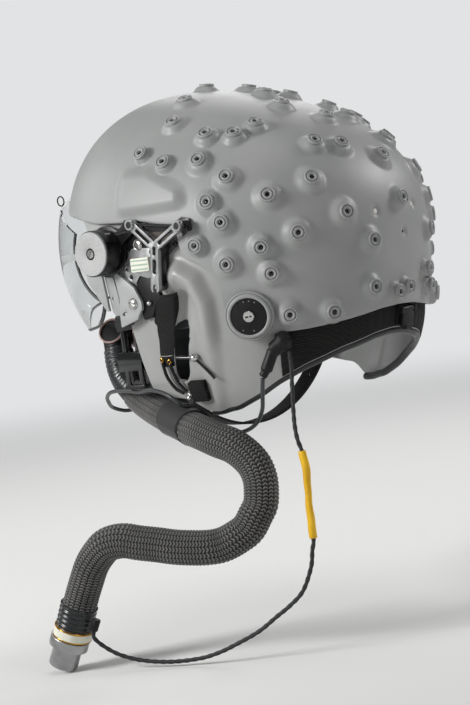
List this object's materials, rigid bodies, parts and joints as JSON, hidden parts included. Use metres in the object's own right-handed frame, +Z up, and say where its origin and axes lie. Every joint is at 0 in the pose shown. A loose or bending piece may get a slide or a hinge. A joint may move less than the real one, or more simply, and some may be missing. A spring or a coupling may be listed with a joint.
{
  "type": "flight helmet",
  "caption": "Flight helmet: emitter-studded outer shell over an inner shell, lifting clear visor, side lock knobs and Y latches, sliding breathing mask with ribbed hose and leads",
  "frame": {"origin": "centre of the outer shell at its widest line, on the middle plane", "axes": "+X to the wearer's left, -Y ahead of the face, +Z up"},
  "size_m": [0.369, 0.3509, 0.4853],
  "materials": {
    "shell_paint": "matte grey paint on a composite shell",
    "inner_paint": "satin grey paint on a composite shell",
    "window_glass": "dark window",
    "foam_cloth": "cloth over foam",
    "black_rubber": "matte",
    "black_plastic": "satin",
    "grey_plastic": "matte",
    "webbing": "woven",
    "satin_metal": "satin",
    "grey_paint": "satin",
    "pale_plastic": "satin",
    "face_metal": "matte speckled",
    "steel": "brushed",
    "black_wire": "satin",
    "gold_metal": "polished",
    "clear_visor": "clear",
    "valve_rubber": "matte",
    "knit": "knitted",
    "lead_jacket": "satin",
    "yellow_sleeve": "satin"
  },
  "bodies": {
    "helmet": {"outer_shell": "shell_paint", "emitter_housings": "shell_paint", "emitter_lenses": "window_glass", "inner_shell": "inner_paint", "shell_pads": "foam_cloth", "edge_roll": "black_rubber", "liner": "foam_cloth", "brow_pad": "foam_cloth", "nape_pad": "foam_cloth", "ear_cups": "black_plastic", "ear_seals": "black_rubber", "earphones": "grey_plastic", "chin_strap": "webbing", "hub_left": "black_plastic", "hub_right": "black_plastic", "side_plates": "satin_metal", "clip_blocks": "pale_plastic", "mask_receivers": "grey_paint", "mask_rails": "black_plastic", "plate_screws": "steel", "latch_rods": "steel", "ear_bezels": "shell_paint", "rear_latch_base": "black_plastic", "straps": "webbing", "strap_eyelets": "gold_metal", "strap_cords": "webbing", "strap_keepers": "black_plastic", "strap_fittings": "steel", "wire_clips": "black_wire", "lead_sockets": "black_plastic"},
    "visor": {"visor": "clear_visor", "visor_edge": "black_rubber", "visor_arm_left": "pale_plastic", "visor_arm_right": "pale_plastic", "visor_tabs": "black_plastic"},
    "knob_left": {"knob_drum_left": "black_plastic", "knob_face_left": "face_metal"},
    "knob_right": {"knob_drum_right": "black_plastic", "knob_face_right": "face_metal"},
    "latch_left": {"latch_lever_left": "satin_metal"},
    "latch_right": {"latch_lever_right": "satin_metal"},
    "disc_left": {"ear_disc_left": "black_plastic"},
    "disc_right": {"ear_disc_right": "black_plastic"},
    "flap": {"rear_latch": "black_plastic"},
    "mask": {"mask_shell": "grey_plastic", "face_seal": "black_rubber", "mask_valve": "valve_rubber", "hose_elbow": "black_plastic", "microphone": "black_plastic", "mask_arms": "black_plastic", "hose_tube": "black_rubber", "hose_sleeve": "knit", "hose_band": "webbing", "hose_cuff": "black_rubber", "hose_connector": "satin_metal", "mic_lead": "lead_jacket", "comms_lead": "lead_jacket", "lead_sleeve": "yellow_sleeve", "comms_plug": "black_plastic"}
  },
  "joints": [
    {"name": "visor_lift", "type": "hinge", "parent": "helmet", "child": "visor", "pos_m": [0, -0.042, 0.004], "axis": [-1, 0, 0], "range_deg": [0, 42]},
    {"name": "knob_left_turn", "type": "hinge", "parent": "helmet", "child": "knob_left", "pos_m": [0.14, -0.042, 0.004], "axis": [1, 0, 0], "range_deg": [0, 90]},
    {"name": "knob_right_turn", "type": "hinge", "parent": "helmet", "child": "knob_right", "pos_m": [-0.14, -0.042, 0.004], "axis": [-1, 0, 0], "range_deg": [0, 90]},
    {"name": "latch_left_swing", "type": "hinge", "parent": "helmet", "child": "latch_left", "pos_m": [0.1414, 0.025, 0.021], "axis": [0, -0.9939, 0.1104], "range_deg": [0, 70]},
    {"name": "latch_right_swing", "type": "hinge", "parent": "helmet", "child": "latch_right", "pos_m": [-0.1414, 0.025, 0.021], "axis": [0, 0.9939, -0.1104], "range_deg": [0, 70]},
    {"name": "disc_left_turn", "type": "hinge", "parent": "helmet", "child": "disc_left", "pos_m": [0.11473, 0.09191, -0.06179], "axis": [0.8725, 0.4711, -0.13], "range_deg": [0, 90]},
    {"name": "disc_right_turn", "type": "hinge", "parent": "helmet", "child": "disc_right", "pos_m": [-0.11473, 0.09191, -0.06179], "axis": [-0.8725, 0.4711, -0.13], "range_deg": [0, 90]},
    {"name": "rear_flap_swing", "type": "hinge", "parent": "helmet", "child": "flap", "pos_m": [-0.01343, 0.15431, -0.07585], "axis": [0.9971, 0.0755, 0], "range_deg": [0, 60]},
    {"name": "mask_slide", "type": "slide", "parent": "helmet", "child": "mask", "axis": [0, 0, -1], "range_m": [0, 0.012]}
  ]
}
